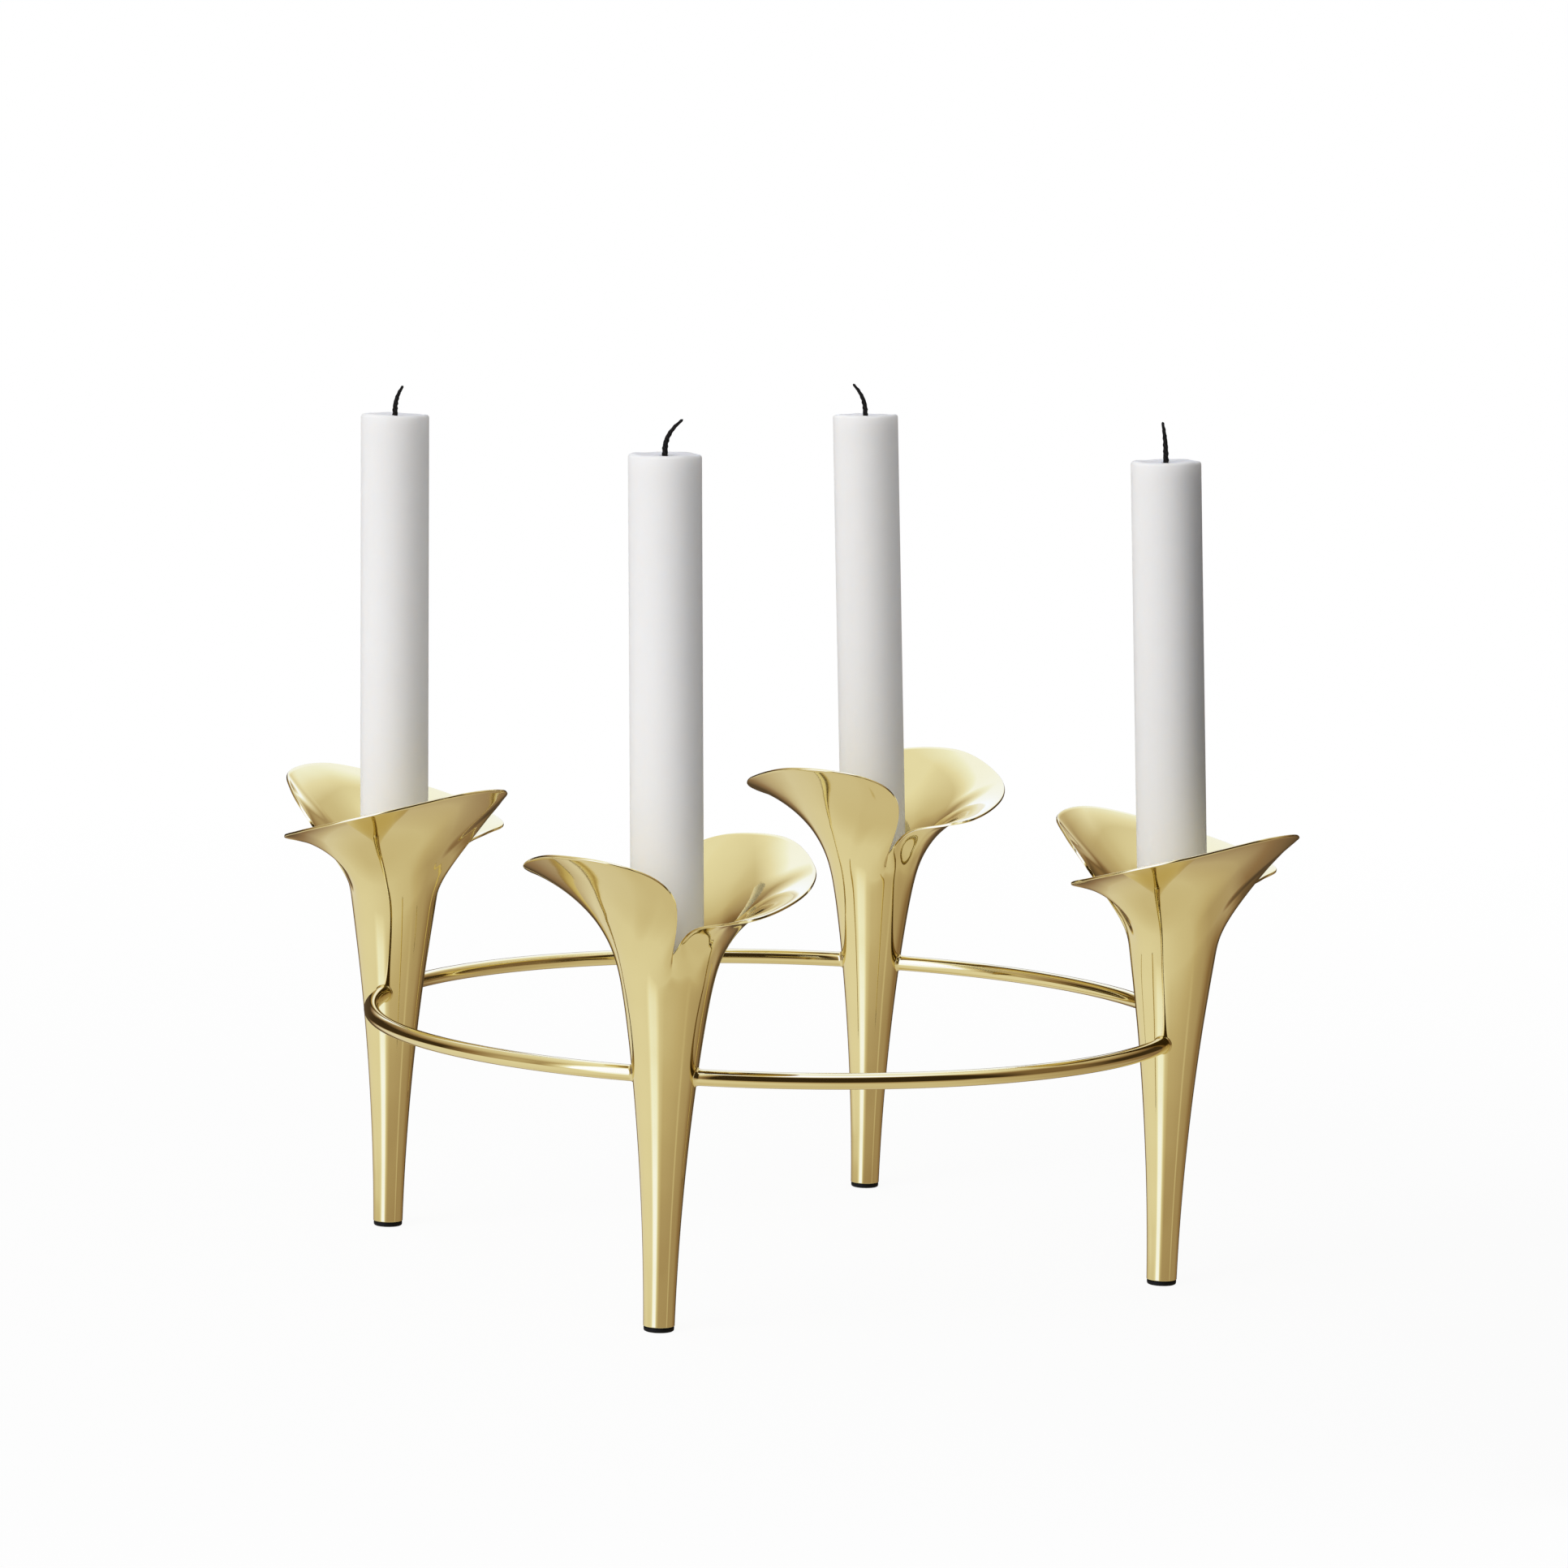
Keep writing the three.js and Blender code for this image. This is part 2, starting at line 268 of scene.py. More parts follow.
def candle_wax():
    """White paraffin wax, dipped: smooth and satin.

    It lets light in for a few millimetres, so that the shading round a candle is soft.
    """
    material, tree, shader = new_material("candle_wax")
    place = add(tree, "ShaderNodeTexCoord").outputs["Object"]
    cloud = add(tree, "ShaderNodeTexNoise", {"Vector": place, "Scale": 1 / (18 * MM), "Detail": 2.0})
    skin = add(tree, "ShaderNodeTexNoise", {"Vector": place, "Scale": 1 / (3 * MM), "Detail": 3.0})
    tone = add(tree, "ShaderNodeMix", {"Factor": cloud.outputs["Fac"],
                                       "A": colour("#F1F0F0"), "B": colour("#F5F4F4")},
               data_type="RGBA")
    gloss = add(tree, "ShaderNodeMapRange", {"Value": skin.outputs["Fac"], "To Min": 0.38, "To Max": 0.5})
    bump = add(tree, "ShaderNodeBump", {"Height": skin.outputs["Fac"], "Strength": 0.2,
                                        "Distance": 0.05 * MM})
    tree.links.new(tone.outputs["Result"], shader.inputs["Base Color"])
    tree.links.new(gloss.outputs["Result"], shader.inputs["Roughness"])
    tree.links.new(bump.outputs["Normal"], shader.inputs["Normal"])
    shader.inputs["IOR"].default_value = 1.43
    shader.inputs["Specular IOR Level"].default_value = 0.2
    shader.inputs["Subsurface Weight"].default_value = 1
    shader.inputs["Subsurface Radius"].default_value = (1, 0.95, 0.9)
    shader.inputs["Subsurface Scale"].default_value = 4 * MM
    return material


def black_rubber():
    """Black rubber, moulded: matt, with a fine grain that breaks up its dull shine."""
    material, tree, shader = new_material("black_rubber")
    place = add(tree, "ShaderNodeTexCoord").outputs["Object"]
    grain = add(tree, "ShaderNodeTexNoise", {"Vector": place, "Scale": 1 / (0.4 * MM), "Detail": 4.0})
    tone = add(tree, "ShaderNodeMix", {"Factor": grain.outputs["Fac"],
                                       "A": colour("#040404"), "B": colour("#0C0C0C")},
               data_type="RGBA")
    gloss = add(tree, "ShaderNodeMapRange", {"Value": grain.outputs["Fac"], "To Min": 0.5, "To Max": 0.7})
    bump = add(tree, "ShaderNodeBump", {"Height": grain.outputs["Fac"], "Strength": 0.3,
                                        "Distance": 0.05 * MM})
    tree.links.new(tone.outputs["Result"], shader.inputs["Base Color"])
    tree.links.new(gloss.outputs["Result"], shader.inputs["Roughness"])
    tree.links.new(bump.outputs["Normal"], shader.inputs["Normal"])
    shader.inputs["Specular IOR Level"].default_value = 0.2
    return material


def charred_cotton():
    """Cotton wick, braided and charred: black with a greyish bloom on the strands."""
    material, tree, shader = new_material("charred_cotton")
    place = add(tree, "ShaderNodeTexCoord").outputs["Object"]
    strands = add(tree, "ShaderNodeTexWave", {"Vector": place, "Scale": 1 / (2.2 * MM), "Detail": 2.0,
                                              "Distortion": 3.0, "Detail Scale": 2.0},
                  bands_direction="DIAGONAL")
    tone = add(tree, "ShaderNodeMix", {"Factor": strands.outputs["Fac"],
                                       "A": colour("#0D0C0B"), "B": colour("#232120")},
               data_type="RGBA")
    bump = add(tree, "ShaderNodeBump", {"Height": strands.outputs["Fac"], "Strength": 0.8,
                                        "Distance": 0.15 * MM})
    tree.links.new(tone.outputs["Result"], shader.inputs["Base Color"])
    tree.links.new(bump.outputs["Normal"], shader.inputs["Normal"])
    shader.inputs["Roughness"].default_value = 0.85
    shader.inputs["Specular IOR Level"].default_value = 0.2
    return material


BRASS = polished_brass()
WAX = candle_wax()
RUBBER = black_rubber()
CHAR = charred_cotton()


# Meshes

def piece(name, points, faces, material, place=(0, 0, 0), body="holder"):
    """A smooth mesh from points in millimetres, standing at place, for the node it is named for."""
    mesh = bpy.data.meshes.new(name)
    mesh.from_pydata([tuple(p) for p in np.asarray(points) * MM], [], faces)
    mesh.validate()
    mesh.shade_smooth()
    mesh.materials.append(material)
    obj = bpy.data.objects.new(name, mesh)
    obj.location = Vector(place) * MM
    bpy.context.scene.collection.objects.link(obj)
    bpy.context.view_layer.update()
    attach(obj, body)
    return obj


def grid_faces(rows, columns, closed_rows=False):
    """Quads between rings of points that close on themselves."""
    faces = []
    last = rows if closed_rows else rows - 1
    for row in range(last):
        here, above = row * columns, (row + 1) % rows * columns
        for column in range(columns):
            right = (column + 1) % columns
            faces.append((here + column, here + right, above + right, above + column))
    return faces


def spun(profile, sides):
    """Rings of points from a profile of (radius, height) pairs."""
    angle = np.arange(sides) / sides * 2 * math.pi
    rings = [np.c_[r * np.cos(angle), r * np.sin(angle), np.full(sides, z)] for r, z in profile]
    return np.vstack(rings)


def rounded(corner_from, corner, corner_to, radius, steps=5):
    """Points that round a corner of a profile."""
    corner = np.array(corner, float)
    into = np.array(corner_from, float) - corner
    out = np.array(corner_to, float) - corner
    start = corner + into / np.linalg.norm(into) * radius
    end = corner + out / np.linalg.norm(out) * radius
    share = np.linspace(0, 1, steps)[:, None]
    curve = (1 - share) ** 2 * start + 2 * share * (1 - share) * corner + share ** 2 * end
    return [tuple(point) for point in curve]


def capped(rings, sides):
    """Faces of a stack of rings, closed at both ends."""
    faces = grid_faces(rings, sides)
    faces.append(tuple(reversed(range(sides))))
    faces.append(tuple(range((rings - 1) * sides, rings * sides)))
    return faces


# Leg and petals

def leg_shape():
    """The parabola of the leg's outside: its bend and its slope at the foot."""
    to_ring = (LEG_RADIUS_AT_RING - FOOT_RADIUS) / RING_HEIGHT
    to_throat = (THROAT_RADIUS - FOOT_RADIUS) / THROAT_HEIGHT
    bend = (to_throat - to_ring) / (THROAT_HEIGHT - RING_HEIGHT)
    return bend, to_ring - bend * RING_HEIGHT


LEG_BEND, LEG_SLOPE = leg_shape()


def leg_radius(z):
    """The leg's outer radius at a height."""
    return FOOT_RADIUS + LEG_SLOPE * z + LEG_BEND * z * z


def polar(radius, angle, z):
    """Points at a radius, angle and height."""
    return np.stack([radius * np.cos(angle), radius * np.sin(angle), z + 0 * angle], -1)


def petal_edge(samples=60):
    """The petal's edge as a smooth curve, with its length share and flare at each sample."""
    stations = np.array(PETAL_EDGE, float)
    knots = polar(THROAT_RADIUS + stations[:, 1] * PETAL_REACH, np.radians(stations[:, 0]),
                  THROAT_HEIGHT + stations[:, 2] * PETAL_RISE)
    knots = np.vstack([2 * knots[0] - knots[1], knots, 2 * knots[-1] - knots[-2]])
    share = np.linspace(0, 1, samples, endpoint=False)[:, None]
    points, flare = [], []

    def between(start, end, leave, arrive):
        """The points now, on the way from start, left at one time, to end, reached at another."""
        return ((arrive - now) * start + (now - leave) * end) / (arrive - leave)

    for i in range(len(stations) - 1):
        near = knots[i:i + 4]
        time = np.cumsum([0] + [np.linalg.norm(near[k + 1] - near[k]) ** 0.5 for k in range(3)])
        now = time[1] + share * (time[2] - time[1])
        low, mid, high = (between(near[k], near[k + 1], time[k], time[k + 1]) for k in range(3))
        before = between(low, mid, time[0], time[2])
        after = between(mid, high, time[1], time[3])
        points.append(between(before, after, time[1], time[2]))
        flare.append(stations[i, 3] + (stations[i + 1, 3] - stations[i, 3]) * share[:, 0])
    points = np.vstack(points + [knots[-2:-1]])
    flare = np.append(np.concatenate(flare), stations[-1, 3])
    # the flare turns evenly from station to station, or the polish would show ripples
    for _ in range(3):
        padded = np.pad(flare, samples // 2, mode="reflect", reflect_type="odd")
        flare = np.convolve(padded, np.full(samples + 1, 1 / (samples + 1)), mode="valid")
    length = np.append(0, np.cumsum(np.linalg.norm(np.diff(points, axis=0), axis=1)))
    return points, np.radians(flare), length / length[-1]


EDGE_POINTS, EDGE_FLARE, EDGE_SHARE = petal_edge()


def petal_rows(around, up):
    """Points of the flower's outside, for every petal place around (0 to 1) and share up."""
    share = around * around * (3 - 2 * around)
    edge = np.stack([np.interp(share, EDGE_SHARE, EDGE_POINTS[:, k]) for k in range(3)], -1)
    throat_angle = math.pi * around
    start = polar(THROAT_RADIUS, throat_angle, THROAT_HEIGHT)
    slope = LEG_SLOPE + 2 * LEG_BEND * THROAT_HEIGHT
    climb = polar(slope, throat_angle, 1) / math.hypot(slope, 1)
    edge_angle = np.arctan2(edge[:, 1], edge[:, 0])
    edge_angle = np.where(edge_angle < -0.5, edge_angle + 2 * math.pi, edge_angle)
    flare = np.interp(share, EDGE_SHARE, EDGE_FLARE)
    arrive = polar(np.cos(flare), (edge_angle + throat_angle) / 2, np.sin(flare))
    span = np.linalg.norm(edge - start, axis=1)[:, None]
    second, third = start + THROAT_PULL * span * climb, edge - EDGE_PULL * span * arrive
    up = np.asarray(up)[:, None, None]
    down = 1 - up
    return down ** 3 * start + 3 * down ** 2 * up * second + 3 * down * up * up * third + up ** 3 * edge


def flower_mesh():
    """Leg, throat and two petals as one sheet, cut square at its edge."""
    petal_columns, petal_steps, leg_steps = 150, 46, 44
    bend_rows_below, bend_rows_above, bend_passes = 9, 20, 60
    edge_rows, corner_turns = 4, (67, 45, 22, 0)
    around = np.arange(petal_columns) / petal_columns
    # the columns widen a little near the notches, where a share of the edge bunches them
    around = around + 0.3 * np.sin(2 * math.pi * around) / (2 * math.pi)
    one = petal_rows(around, np.linspace(0, 1, petal_steps))
    other = one * np.array([-1, -1, 1])
    petals = np.concatenate([one, other], axis=1)
    angle = math.pi * np.append(around, around + 1)
    heights = np.linspace(LEG_BOTTOM, THROAT_HEIGHT, leg_steps, endpoint=False)
    # a row close above the foot's edge keeps the shading of the leg off that edge
    heights[1] = LEG_BOTTOM + FOOT_EDGE_ROW
    leg = np.stack([polar(leg_radius(z), angle, z) for z in heights])
    outer = np.concatenate([leg, petals])
    # the throat's bend is spread over a few rows, as a press leaves it
    rows = np.arange(len(outer)) - leg_steps
    near = np.where(rows < 0, 1 + rows / bend_rows_below, 1 - rows / bend_rows_above)
    near = near.clip(0, 1)[:, None, None]
    for _ in range(bend_passes):
        middle = (np.roll(outer, 1, axis=0) + np.roll(outer, -1, axis=0)) / 2
        outer = outer + 0.5 * near * (middle - outer)
    along = np.roll(outer, -1, axis=1) - np.roll(outer, 1, axis=1)
    upward = np.gradient(outer, axis=0)
    normal = np.cross(along, upward)
    normal /= np.linalg.norm(normal, axis=-1, keepdims=True)
    # the edge keeps the direction of the sheet just below it
    normal[-edge_rows:] = normal[-edge_rows - 1]
    # the sheet is cut square and its two corners are polished round
    last = outer[-1] - outer[-2]
    last /= np.linalg.norm(last, axis=-1, keepdims=True)
    edge = outer[-1] - last * SHEET_EDGE_ROUND
    cut = [edge]
    for depth, side in ((SHEET_EDGE_ROUND, 1), (SHEET - SHEET_EDGE_ROUND, -1)):
        for turn in np.radians(corner_turns[::side]) * side:
            cut.append(edge - normal[-1] * (depth - SHEET_EDGE_ROUND * math.sin(turn))
                       + last * SHEET_EDGE_ROUND * math.cos(turn))
    cut.append(edge - normal[-1] * SHEET)
    outside = outer[:-1]
    inside = outside - normal[:-1] * SHEET
    rings = [*outside, *cut, *inside[::-1]]
    return np.vstack(rings), grid_faces(len(rings), 2 * petal_columns, closed_rows=True)


FLOWER_POINTS, FLOWER_FACES = flower_mesh()


def flower(name, place, turn):
    """A flower on its leg, with its petals turned to their own bearing."""
    cos, sin = math.cos(turn), math.sin(turn)
    spin = np.array([[cos, sin, 0], [-sin, cos, 0], [0, 0, 1]])
    obj = piece(f"flower_{name}_sheet", FLOWER_POINTS @ spin, FLOWER_FACES, BRASS, place)
    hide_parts(f"flower_{name}")


# Turned pieces

def candle_cup(name, place):
    """A thin turned cup with a round lip, seated in the taper of the throat, over a drain hole."""
    floor_bottom = CUP_FLOOR_TOP - CUP_FLOOR
    taper_gap = SHEET + SEAT_GAP
    lip = ((CUP_RADIUS + CUP_BORE) / 2, CUP_TOP)
    corner, drain = (CUP_BORE, CUP_FLOOR_TOP), (CUP_DRAIN_RADIUS, CUP_FLOOR_TOP)
    profile = [(CUP_DRAIN_RADIUS, floor_bottom), (leg_radius(floor_bottom) - taper_gap, floor_bottom),
               (leg_radius(CUP_FLOOR_TOP) - taper_gap, CUP_FLOOR_TOP), (CUP_RADIUS, THROAT_HEIGHT)]
    profile += rounded((CUP_RADIUS, THROAT_HEIGHT), (CUP_RADIUS, CUP_TOP), lip, CUP_WALL / 2)
    profile += rounded(lip, (CUP_BORE, CUP_TOP), corner, CUP_WALL / 2)
    profile += rounded((CUP_BORE, CUP_TOP), corner, drain, CUP_CORNER_ROUND)
    profile += [drain]
    obj = piece(f"candle_cup_{name}_turned", spun(profile, 96),
                grid_faces(len(profile), 96, closed_rows=True), BRASS, place)
    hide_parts(f"candle_cup_{name}")


def foot_pad(name, place):
    """A round pad under the leg, with a stem that holds it in the hollow of the leg."""
    radius = FOOT_RADIUS - PAD_INSET
    stem = FOOT_RADIUS - SHEET - SEAT_GAP
    profile = rounded((0, 0), (radius, 0), (radius, PAD_THICKNESS), PAD_EDGE_ROUND)
    profile += rounded((radius, 0), (radius, PAD_THICKNESS), (stem, PAD_THICKNESS), PAD_TOP_ROUND)
    profile += [(stem, PAD_THICKNESS), (stem, PAD_THICKNESS + PAD_STEM)]
    obj = piece(f"foot_pad_{name}_moulded", spun(profile, 64), capped(len(profile), 64),
                RUBBER, place)
    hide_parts(f"foot_pad_{name}")


def candle(name, place, tilt, length):
    """A dipped candle: its top edge is soft and not quite level, and sinks a little to the wick."""
    bore = WICK_RADIUS + WICK_CLEARANCE
    foot, top = (CANDLE_RADIUS, 0), (CANDLE_RADIUS, length)
    profile = [(bore, 0.4)] + rounded((bore, 0), foot, top, CANDLE_FOOT_ROUND)
    profile += [(CANDLE_RADIUS, z) for z in np.linspace(2, length - 6, 24)]
    profile += rounded(foot, top, (0, length), CANDLE_SHOULDER_ROUND, 9)
    profile += [(r, length - 0.25 - 0.35 * (1 - r / CANDLE_RADIUS)) for r in (8, 6, 4, 2.5, 1.7)]
    profile += [(bore, length - 0.7), (bore, length - 2)]
    sides = 96
    points = spun(profile, sides)
    # the top's height wanders round the rim by parts of a millimetre, otherwise on each candle
    angle = np.arctan2(points[:, 1], points[:, 0])
    phase = len(name)
    uneven = 0.22 * np.sin(angle + phase) + 0.12 * np.sin(3 * angle + 2 * phase) + 0.06 * np.sin(7 * angle)
    near_top = np.clip((points[:, 2] - length + CANDLE_UNEVEN_DEPTH) / CANDLE_UNEVEN_DEPTH, 0, 1)
    points[:, 2] += (uneven - CANDLE_UNEVEN_LOW) * near_top
    obj = piece(f"candle_{name}_wax", points @ tilt.T, grid_faces(len(profile), sides), WAX, place,
                f"{name}_candle")
    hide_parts(f"candle_{name}")


def wick(name, place, tilt, length, rise, bend, aim):
    """A braid that bends over and narrows to its burnt tip. Its strands show as ridges."""
    sides, steps = 16, 44
    path, width = [], []
    for z in np.linspace(length - WICK_SUNK, length + rise * WICK_FREE, steps + 1):
        free = max(0, (z - length) / (rise * WICK_FREE))
        aside = bend * WICK_FREE * free ** 2.4
        path.append((aside * math.cos(aim), aside * math.sin(aim), z))
        width.append(WICK_RADIUS * (0.93 - 0.48 * free ** 1.5) * (BURNT_TIP if free > 0.999 else 1))
    path = np.array(path)
    ahead = np.gradient(path, axis=0)
    ahead /= np.linalg.norm(ahead, axis=1, keepdims=True)
    side = np.array([-math.sin(aim), math.cos(aim), 0])
    front = np.cross(ahead, side)
    angle = np.arange(sides) / sides * 2 * math.pi
    rings = []
    for k in range(steps + 1):
        ridge = 1 + 0.1 * np.sin(3 * angle + 1.1 * k) + 0.06 * np.sin(2 * angle - 0.9 * k)
        outward = np.cos(angle)[:, None] * side + np.sin(angle)[:, None] * front[k]
        rings.append(path[k] + width[k] * ridge[:, None] * outward)
    obj = piece(f"wick_{name}_braid", np.vstack(rings) @ tilt.T, capped(steps + 1, sides),
                CHAR, place, f"{name}_candle")
    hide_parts(f"wick_{name}")


# Ring

def ring_arc(name, from_bearing):
    """A quarter of the ring. Each end is coped to its leg and flares into a small braze fillet."""
    sides, steps = 40, 150
    around = np.arange(sides) / sides * 2 * math.pi
    offset_out, offset_up = np.cos(around), np.sin(around)

    def end_angle(out, up):
        """Angle along the ring from the leg's axis to the leg's skin, at an offset of the rod."""
        radius, height = RING_RADIUS + out, RING_HEIGHT + up
        reach = leg_radius(height) + COPE_GAP
        cos = (radius ** 2 + RING_RADIUS ** 2 - reach ** 2) / (2 * radius * RING_RADIUS)
        return math.acos(cos)

    half_arc = math.pi / 4
    rings = []
    # the rings of points stand closer together towards both ends
    shares = np.linspace(-1, 1, steps)
    shares = np.sign(shares) * (1 - (1 - np.abs(shares)) ** 1.6)
    for share in shares:
        ring = []
        for out, up in zip(offset_out, offset_up):
            plain = end_angle(out * ROD_RADIUS, up * ROD_RADIUS)
            from_end = (1 - abs(share)) * (half_arc - plain) * RING_RADIUS
            thick = ROD_RADIUS + BRAZE_FILLET * max(0, 1 - from_end / BRAZE_REACH) ** 2
            stop = end_angle(out * thick, up * thick)
            angle = from_bearing + half_arc + share * (half_arc - stop)
            radius = RING_RADIUS + out * thick
            ring.append((radius * math.cos(angle), radius * math.sin(angle), RING_HEIGHT + up * thick))
        rings.append(ring)
    obj = piece(f"ring_arc_{name}_rod", np.vstack(rings), capped(steps, sides), BRASS)
    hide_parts(f"ring_arc_{name}")


def facing_out(obj):
    """Turns a mesh's faces outwards."""
    work = bmesh.new()
    work.from_mesh(obj.data)
    bmesh.ops.recalc_face_normals(work, faces=work.faces)
    work.to_mesh(obj.data)
    work.free()


for index, (name, bearing, turn, length, lean, rise, bend, aim) in enumerate(LIGHTS):
    leg_at = polar(RING_RADIUS, np.radians(bearing), 0)
    flower(name, leg_at, math.radians(bearing + turn))
    candle_cup(name, leg_at)
    foot_pad(name, leg_at)
    # the candle leans in its cup, on one edge of its foot
    tip = math.radians(lean)
    tilt = np.array(Matrix.Rotation(-tip, 3, "Y"))
    seat = np.array([CUP_DEPTH / 2 * math.tan(tip), 0,
                     CUP_FLOOR_TOP + SEAT_GAP + CANDLE_RADIUS * math.sin(tip)])
    candle(name, leg_at + seat, tilt, length)
    wick(name, leg_at + seat, tilt, length, rise, bend, math.radians(aim))
    ring_arc(f"{name}_{LIGHTS[(index + 1) % 4][0]}", math.radians(bearing))

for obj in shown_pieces():
    if "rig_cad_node" not in obj:
        facing_out(obj)


# Studio

def table_material():
    """White table: it keeps a soft shadow, and is lifted to white for the camera and mirrors."""
    material, tree, shader = new_material("white_table")
    shader.inputs["Base Color"].default_value = colour("#E8E8E8")
    shader.inputs["Roughness"].default_value = 0.9
    shader.inputs["Specular IOR Level"].default_value = 0
    path = add(tree, "ShaderNodeLightPath").outputs
    seen = add(tree, "ShaderNodeMath", {0: path["Is Camera Ray"], 1: path["Is Glossy Ray"]},
               operation="MAXIMUM").outputs[0]
    seen = add(tree, "ShaderNodeMath", {0: seen, 1: path["Is Transmission Ray"]},
               operation="MAXIMUM").outputs[0]
    white = add(tree, "ShaderNodeEmission", {"Color": (1, 1, 1, 1), "Strength": 1})
    shade = add(tree, "ShaderNodeBsdfDiffuse", {"Color": (1, 1, 1, 1)})
    place = add(tree, "ShaderNodeTexCoord").outputs["Object"]
    distance = add(tree, "ShaderNodeVectorMath", {0: place}, operation="LENGTH").outputs["Value"]
    near, far = TABLE_FADE
    lift = add(tree, "ShaderNodeMapRange", {"Value": distance, "From Min": near, "From Max": far,
                                            "To Min": TABLE_LIFT, "To Max": 1}).outputs[0]
    lifted = add(tree, "ShaderNodeMixShader", {"Fac": lift, 1: shade.outputs[0], 2: white.outputs[0]})
    mixed = add(tree, "ShaderNodeMixShader", {"Fac": seen, 1: shader.outputs["BSDF"], 2: lifted.outputs[0]})
    out = next(node for node in tree.nodes if node.type == "OUTPUT_MATERIAL")
    tree.links.new(mixed.outputs[0], out.inputs["Surface"])
    return material


def table():
    """The table's top. The polished metal sees the studio's own pale table in its place."""
    half = TABLE_HALF
    mesh = bpy.data.meshes.new("white_table")
    mesh.from_pydata([(-half, -half, 0), (half, -half, 0), (half, half, 0), (-half, half, 0)], [],
                     [(0, 1, 2, 3)])
    mesh.materials.append(table_material())
    obj = bpy.data.objects.new("white_table", mesh)
    bpy.context.scene.collection.objects.link(obj)
    obj.visible_glossy = False


def flag():
    """A flag of black velvet that keeps the fill's light off the candle nearest to it."""
    material, tree, shader = new_material("black_velvet")
    shader.inputs["Base Color"].default_value = colour("#0A0A0A")
    shader.inputs["Roughness"].default_value = 1
    mesh = bpy.data.meshes.new("black_flag")
    wide, high = (size / 2 * MM for size in FLAG_SIZE)
    mesh.from_pydata([(0, -wide, -high), (0, wide, -high), (0, wide, high), (0, -wide, high)], [],
                     [(0, 1, 2, 3)])
    mesh.materials.append(material)
    obj = bpy.data.objects.new("black_flag", mesh)
    bpy.context.scene.collection.objects.link(obj)
    obj.location = Vector(FLAG_AT) * MM
    obj.rotation_euler.z = math.radians(FLAG_TURN)
    obj.visible_camera = obj.visible_glossy = obj.visible_transmission = False


# What the polished metal mirrors: a photo studio in which each thing has one tone from 0 to 1.
# Directions are in degrees as seen from the object: turns are counted from the camera's side,
# plus to the right, and rises from the horizon. The pale table is brighter towards a window on
# the left and ends softly just below the horizon. The room beyond it is dark there, and fades
# upwards to a white ceiling: each of its tones stands after its rise.
TABLE_TONE = 0.62
WINDOW_TURN = -80
WINDOW_LIGHT = 0.09
TABLE_END = (-13, -8)
ROOM_TONES = ((-6, 0.03), (14, 0.03), (27, 0.36), (38, 0.56), (50, 0.66), (64, 0.76))

# Cards and lamps in the studio, from far to near: the turns at each one's sides and how wide
# the soft border there is, the same for the rises at its lower and upper end, then its tone
STUDIO_CARDS = (
    ("shade under the object", (-180, 180), 1, (-115, -62), 24, 0.57),
    ("shaded right side of the table", (80, 170), 50, (-52, -14), 20, 0.41),
    ("dim end of the table", (-14, 150), 20, (-22, -10), 12, 0.37),
    ("far right corner of the table", (110, 175), 30, (-20, -10), 12, 0.19),
    ("wall beside the softbox", (-92, -60), 24, (-11, 26), 8, 0.45),
    ("black card behind", (143, 205), 12, (-32, 10), 24, 0.07),
    ("white backdrop", (153, 203), 12, (14, 90), 8, 0.9),
    ("upper part of the backdrop", (146, 216), 14, (33, 90), 8, 0.9),
    ("wall at the right", (64, 102), 16, (-8, 42), 20, 0.18),
    ("ceiling lamp", (-50, 100), 60, (60, 120), 12, 1),
    ("dark room behind the camera", (-24, 69), 14, (-9, 57), 12, 0.02),
    ("narrow gap of light", (57, 63), 6, (-23, -11), 6, 0.55),
    ("softbox mirrored in the table", (-52, -24), 10, (-24, -6), 12, 0.93),
    ("softbox", (-62, -22), 10, (-10, 57), 8, 1),
)

# The colour of each tone: the dim things are warm, and the lamps are cool
STUDIO_STRENGTH = 3
STUDIO_TONES = ((0, "#100A02"), (0.25, "#5A4A39"), (0.5, "#7E776B"), (0.6, "#898680"),
                (0.75, "#999B9F"), (0.86, "#A1AAC1"), (1, "#ADB9FB"))


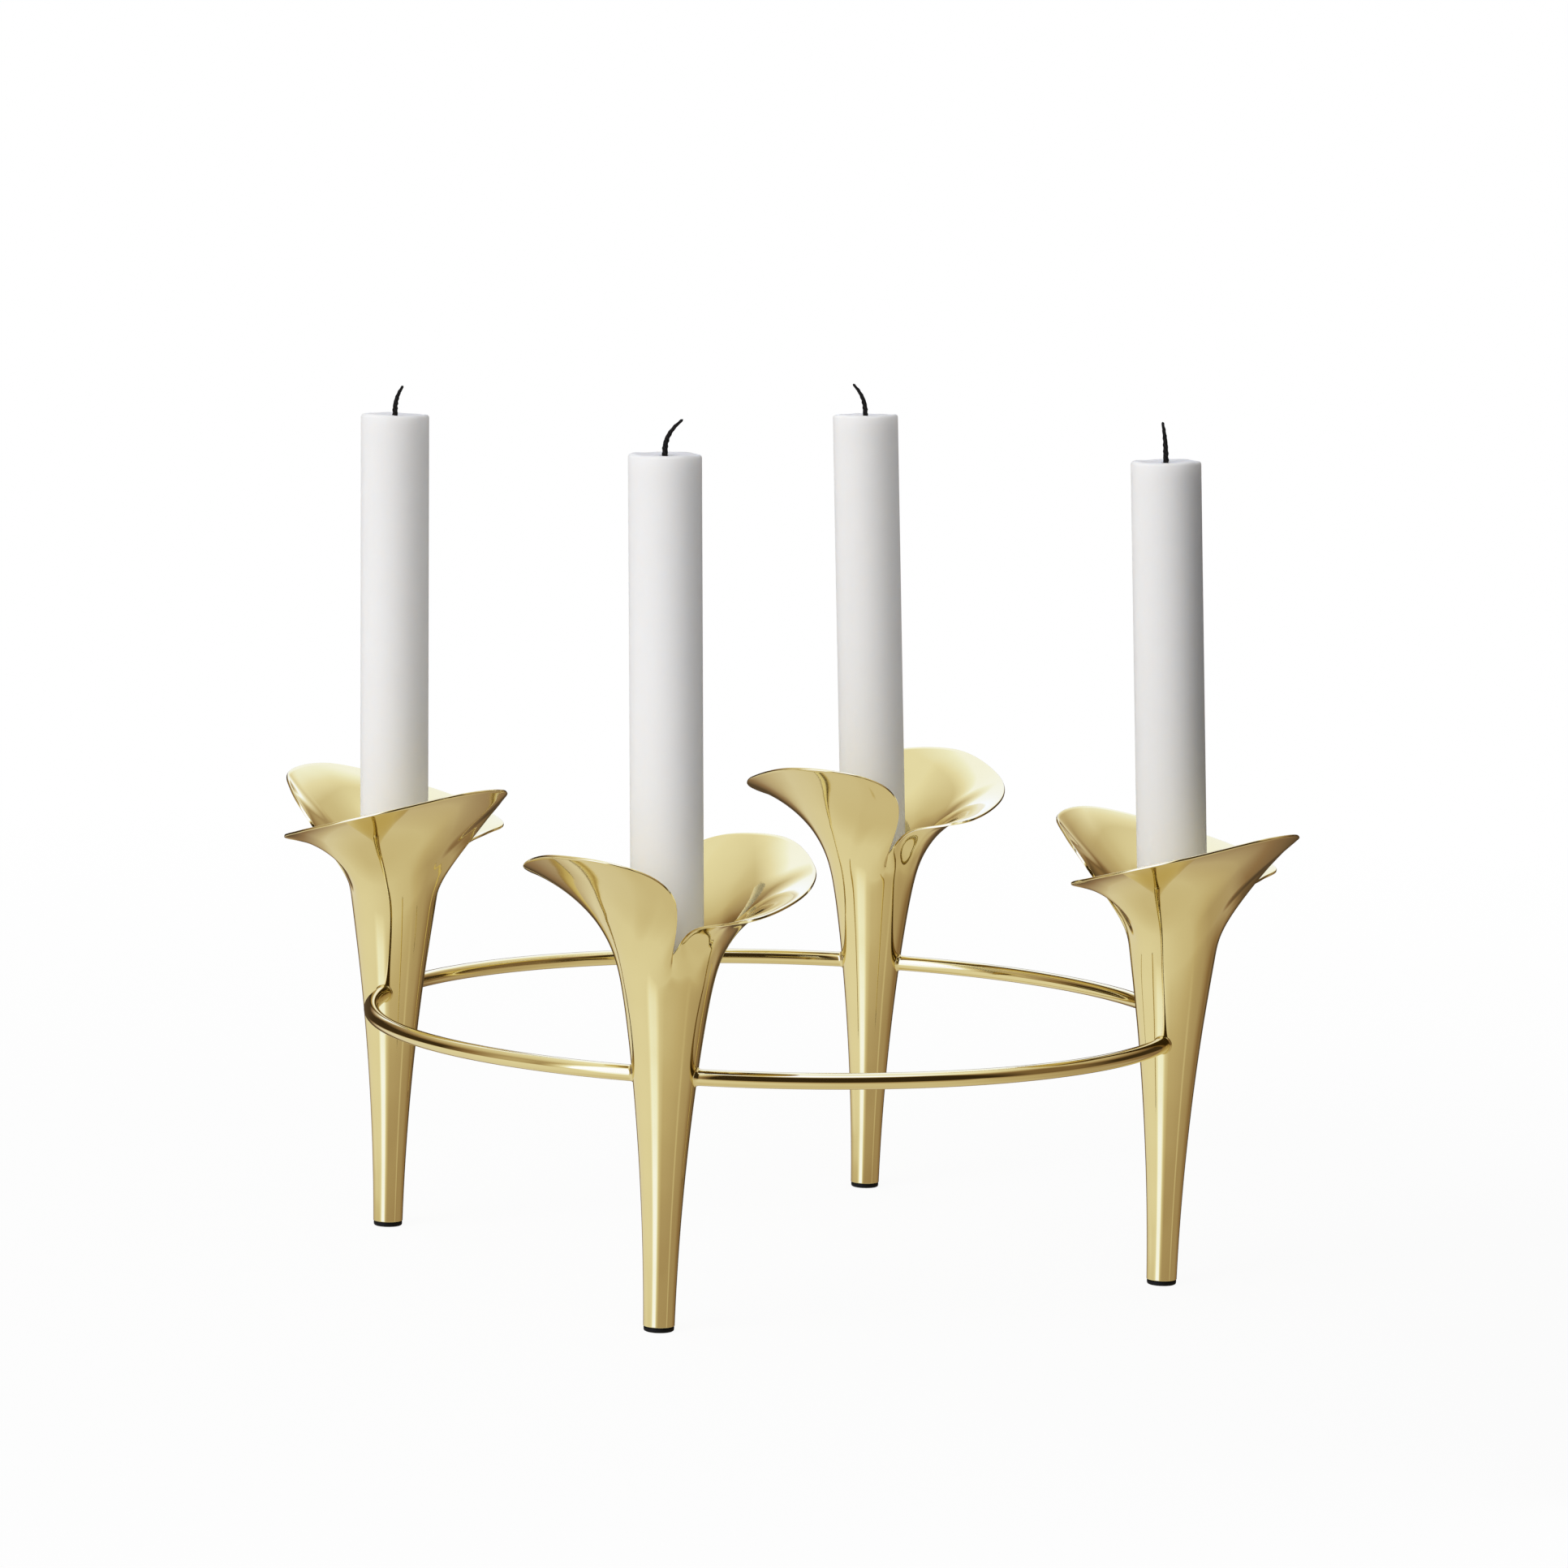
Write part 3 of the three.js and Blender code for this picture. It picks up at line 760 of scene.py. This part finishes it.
def studio():
    """The room: white for the camera, and tones by direction for the polished metal.

    The wax and the table are lit by a few soft lamps over a fill.
    """
    world = bpy.data.worlds.new("studio")
    bpy.context.scene.world = world
    world.use_nodes = True
    tree = world.node_tree
    tree.nodes.clear()
    front = math.radians(CAMERA_AZIMUTH)
    look = add(tree, "ShaderNodeTexCoord").outputs["Generated"]

    def along(turn, rise=0):
        """How far the look goes along a direction, given by its turn to the right and rise."""
        angle, rise = front + math.radians(turn), math.radians(rise)
        axis = (math.sin(angle) * math.cos(rise), -math.cos(angle) * math.cos(rise), math.sin(rise))
        product = add(tree, "ShaderNodeVectorMath", {0: look, 1: axis}, operation="DOT_PRODUCT")
        return product.outputs["Value"]

    turn = add(tree, "ShaderNodeMath", {0: along(90), 1: along(0)}, operation="ARCTAN2").outputs[0]
    rise = add(tree, "ShaderNodeMath", {0: along(0, 90)}, operation="ARCSINE").outputs[0]

    def inside(angle, ends, fade):
        """1 between two ends in degrees and 0 beyond them, with a soft border of that width."""
        start, end = ends
        apart = add(tree, "ShaderNodeMath", {0: angle, 1: math.radians((start + end) / 2)},
                    operation="SUBTRACT").outputs[0]
        apart = add(tree, "ShaderNodeMath", {0: apart, 1: math.pi, 2: -math.pi},
                    operation="WRAP").outputs[0]
        apart = add(tree, "ShaderNodeMath", {0: apart}, operation="ABSOLUTE").outputs[0]
        border = {"Value": apart, "From Min": math.radians((end - start + fade) / 2),
                  "From Max": math.radians((end - start - fade) / 2)}
        return add(tree, "ShaderNodeMapRange", border).outputs[0]

    tone = add(tree, "ShaderNodeMath", {0: along(WINDOW_TURN), 1: WINDOW_LIGHT, 2: TABLE_TONE},
               operation="MULTIPLY_ADD").outputs[0]
    height = add(tree, "ShaderNodeMapRange", {"Value": rise, "From Min": -math.pi / 2,
                                              "From Max": math.pi / 2}).outputs[0]
    room = ramp(tree, height, [(angle / 180 + 0.5, level) for angle, level in ROOM_TONES])
    low, high = TABLE_END
    beyond = add(tree, "ShaderNodeMapRange", {"Value": rise, "From Min": math.radians(low),
                                             "From Max": math.radians(high)}).outputs[0]
    tone = add(tree, "ShaderNodeMapRange", {"Value": beyond, "To Min": tone, "To Max": room}).outputs[0]
    for name, turns, side_fade, rises, end_fade, level in STUDIO_CARDS:
        across = inside(turn, turns, side_fade)
        upwards = inside(rise, rises, end_fade)
        covered = add(tree, "ShaderNodeMath", {0: across, 1: upwards}, operation="MULTIPLY").outputs[0]
        tone = add(tree, "ShaderNodeMapRange", {"Value": covered, "To Min": tone, "To Max": level},
                   label=name).outputs[0]
    mirrored = ramp(tree, tone, STUDIO_TONES)

    soft = add(tree, "ShaderNodeMapRange", {"Value": along(90), "From Min": -1, "From Max": 1,
                                            "To Min": FILL_LEFT, "To Max": FILL_RIGHT}).outputs[0]
    for turn_to, height, focus, level in SOFT_LAMPS:
        towards = add(tree, "ShaderNodeMath", {0: along(turn_to, height), 1: 0},
                      operation="MAXIMUM").outputs[0]
        spread = add(tree, "ShaderNodeMath", {0: towards, 1: focus}, operation="POWER").outputs[0]
        soft = add(tree, "ShaderNodeMath", {0: spread, 1: level, 2: soft},
                   operation="MULTIPLY_ADD").outputs[0]

    path = add(tree, "ShaderNodeLightPath").outputs
    plain = add(tree, "ShaderNodeBackground", {"Strength": soft})
    gloss = add(tree, "ShaderNodeBackground", {"Color": mirrored, "Strength": STUDIO_STRENGTH})
    white = add(tree, "ShaderNodeBackground", {"Color": (1, 1, 1, 1), "Strength": 1})
    lit = add(tree, "ShaderNodeMixShader", {"Fac": path["Is Glossy Ray"], 1: plain.outputs[0],
                                            2: gloss.outputs[0]})
    seen = add(tree, "ShaderNodeMath", {0: path["Is Camera Ray"], 1: path["Is Transmission Ray"]},
               operation="MAXIMUM").outputs[0]
    final = add(tree, "ShaderNodeMixShader", {"Fac": seen, 1: lit.outputs[0], 2: white.outputs[0]})
    add(tree, "ShaderNodeOutputWorld", {"Surface": final.outputs[0]})


def camera():
    """The camera, turned and rolled as the photo's was, with all in focus."""
    data = bpy.data.cameras.new("camera")
    data.sensor_width = SENSOR_WIDTH
    data.lens = FOCAL_PIXELS / IMAGE_WIDTH * SENSOR_WIDTH
    az, el, roll = (math.radians(a) for a in (CAMERA_AZIMUTH, CAMERA_ELEVATION, CAMERA_ROLL))
    back = Vector((math.sin(az) * math.cos(el), -math.cos(az) * math.cos(el), math.sin(el)))
    right = Vector((math.cos(az), math.sin(az), 0))
    up = back.cross(right)
    x_axis = right * math.cos(roll) - up * math.sin(roll)
    y_axis = right * math.sin(roll) + up * math.cos(roll)
    obj = bpy.data.objects.new("camera", data)
    obj.matrix_world = Matrix.Translation(Vector(CAMERA_AT) * MM) @ Matrix(
        (x_axis, y_axis, back)).transposed().to_4x4()
    bpy.context.scene.collection.objects.link(obj)
    bpy.context.scene.camera = obj


table()
flag()
studio()
camera()
bpy.context.scene.view_settings.view_transform = "Standard"
